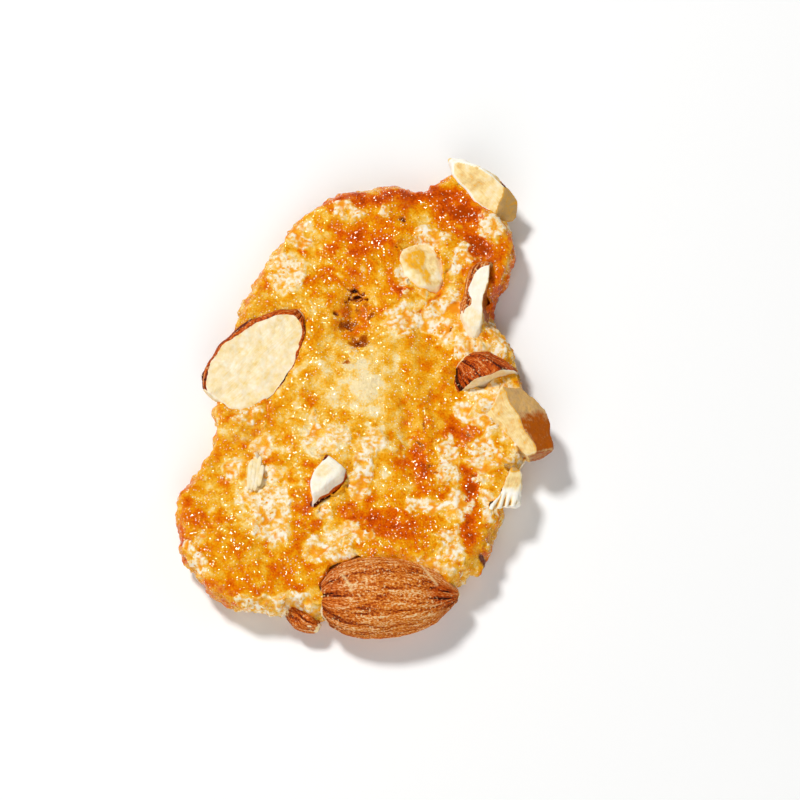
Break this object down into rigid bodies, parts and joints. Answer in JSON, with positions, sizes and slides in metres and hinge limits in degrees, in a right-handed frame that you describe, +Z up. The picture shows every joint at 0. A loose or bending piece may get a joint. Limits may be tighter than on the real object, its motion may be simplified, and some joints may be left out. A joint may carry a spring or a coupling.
{
  "type": "almond crisp cookie",
  "caption": "Thin, craggy slab of caramelised dough with a whole almond on its front edge and chopped almond pieces sunk in its top; a baked sweet snack that lies flat.",
  "frame": {"origin": "middle of the object's box, on the flat underside that it lies on", "axes": "+Z up through the slab's thickness, +Y along the slab's length from the whole almond to the back edge, +X to the right seen from the whole almond's side"},
  "size_m": [0.064, 0.087, 0.0096],
  "materials": {
    "caramelised_dough": "satin",
    "almond_skin": "matte",
    "almond_flesh": "matte"
  },
  "bodies": {
    "root": {"crisp_body": "caramelised_dough", "almond_whole": "almond_skin", "almond_half_left": "almond_flesh", "almond_back_corner": "almond_flesh", "almond_right_back": "almond_flesh", "almond_right_skin": "almond_skin", "almond_right_cut": "almond_flesh", "almond_right_front": "almond_flesh", "almond_middle": "almond_flesh", "almond_back_slice": "almond_flesh", "almond_front_bit": "almond_skin"}
  },
  "joints": []
}
